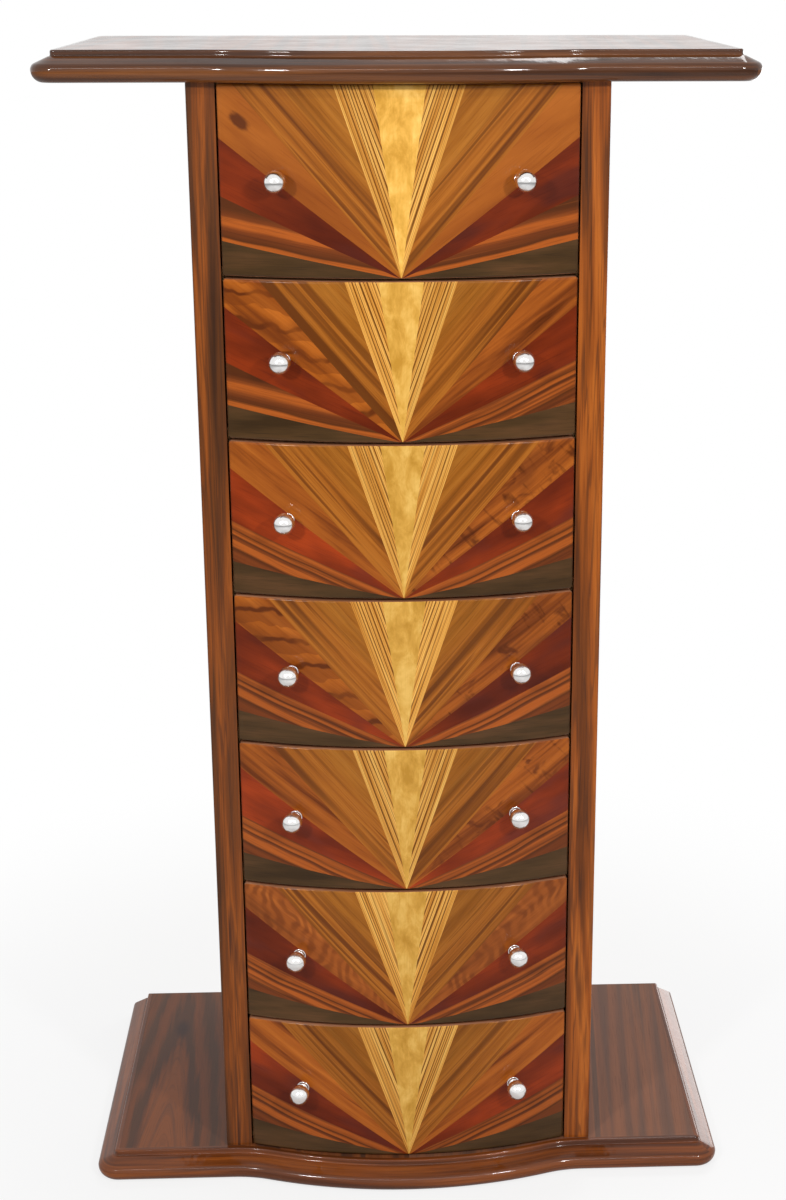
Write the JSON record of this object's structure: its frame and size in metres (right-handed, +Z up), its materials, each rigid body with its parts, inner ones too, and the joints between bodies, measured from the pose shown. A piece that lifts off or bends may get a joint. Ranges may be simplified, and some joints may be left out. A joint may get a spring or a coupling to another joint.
{
  "type": "chest of drawers",
  "caption": "Tall narrow chest of bowed drawers with sunburst veneer, between a wide base slab and a wide top slab with serpentine moulded edges.",
  "frame": {"origin": "on the floor, at the middle of the piece's width and depth", "axes": "+Z up, drawers face -Y, +X to the right seen from behind the knobs looking along +Y"},
  "size_m": [0.8, 0.473, 1.4],
  "materials": {
    "rosewood_veneer": "high gloss lacquer",
    "moulding": "high gloss lacquer",
    "marquetry": "high gloss lacquer",
    "front_core": "satin lacquer",
    "inner_wood": "planed",
    "drawer_wood": "satin lacquer",
    "drawer_plywood": "satin lacquer",
    "back_plywood": "stained",
    "chrome_knob": "polished",
    "steel_screw": "plain"
  },
  "bodies": {
    "case": {"base_board": "rosewood_veneer", "base_front_moulding": "moulding", "base_side_mouldings": "moulding", "top_board": "rosewood_veneer", "top_front_moulding": "moulding", "top_side_mouldings": "moulding", "left_side_panel": "rosewood_veneer", "right_side_panel": "rosewood_veneer", "left_front_stile": "rosewood_veneer", "right_front_stile": "rosewood_veneer", "back_panel": "back_plywood", "drawer_rails": "inner_wood", "drawer_runners": "inner_wood", "rear_cleats": "inner_wood", "case_dowels": "inner_wood", "slab_screws": "steel_screw", "runner_screws": "steel_screw", "back_panel_screws": "steel_screw"},
    "drawer_1": {"drawer_1_front": "front_core", "drawer_1_marquetry": "marquetry", "drawer_1_box": "drawer_wood", "drawer_1_bottom": "drawer_plywood", "drawer_1_knobs": "chrome_knob", "drawer_1_knob_screws": "steel_screw"},
    "drawer_2": {"drawer_2_front": "front_core", "drawer_2_marquetry": "marquetry", "drawer_2_box": "drawer_wood", "drawer_2_bottom": "drawer_plywood", "drawer_2_knobs": "chrome_knob", "drawer_2_knob_screws": "steel_screw"},
    "drawer_3": {"drawer_3_front": "front_core", "drawer_3_marquetry": "marquetry", "drawer_3_box": "drawer_wood", "drawer_3_bottom": "drawer_plywood", "drawer_3_knobs": "chrome_knob", "drawer_3_knob_screws": "steel_screw"},
    "drawer_4": {"drawer_4_front": "front_core", "drawer_4_marquetry": "marquetry", "drawer_4_box": "drawer_wood", "drawer_4_bottom": "drawer_plywood", "drawer_4_knobs": "chrome_knob", "drawer_4_knob_screws": "steel_screw"},
    "drawer_5": {"drawer_5_front": "front_core", "drawer_5_marquetry": "marquetry", "drawer_5_box": "drawer_wood", "drawer_5_bottom": "drawer_plywood", "drawer_5_knobs": "chrome_knob", "drawer_5_knob_screws": "steel_screw"},
    "drawer_6": {"drawer_6_front": "front_core", "drawer_6_marquetry": "marquetry", "drawer_6_box": "drawer_wood", "drawer_6_bottom": "drawer_plywood", "drawer_6_knobs": "chrome_knob", "drawer_6_knob_screws": "steel_screw"},
    "drawer_7": {"drawer_7_front": "front_core", "drawer_7_marquetry": "marquetry", "drawer_7_box": "drawer_wood", "drawer_7_bottom": "drawer_plywood", "drawer_7_knobs": "chrome_knob", "drawer_7_knob_screws": "steel_screw"}
  },
  "joints": [
    {"name": "drawer_1_slide", "type": "slide", "parent": "case", "child": "drawer_1", "axis": [0, -1, 0], "range_m": [0, 0.28]},
    {"name": "drawer_2_slide", "type": "slide", "parent": "case", "child": "drawer_2", "axis": [0, -1, 0], "range_m": [0, 0.28]},
    {"name": "drawer_3_slide", "type": "slide", "parent": "case", "child": "drawer_3", "axis": [0, -1, 0], "range_m": [0, 0.28]},
    {"name": "drawer_4_slide", "type": "slide", "parent": "case", "child": "drawer_4", "axis": [0, -1, 0], "range_m": [0, 0.28]},
    {"name": "drawer_5_slide", "type": "slide", "parent": "case", "child": "drawer_5", "axis": [0, -1, 0], "range_m": [0, 0.28]},
    {"name": "drawer_6_slide", "type": "slide", "parent": "case", "child": "drawer_6", "axis": [0, -1, 0], "range_m": [0, 0.28]},
    {"name": "drawer_7_slide", "type": "slide", "parent": "case", "child": "drawer_7", "axis": [0, -1, 0], "range_m": [0, 0.28]}
  ]
}
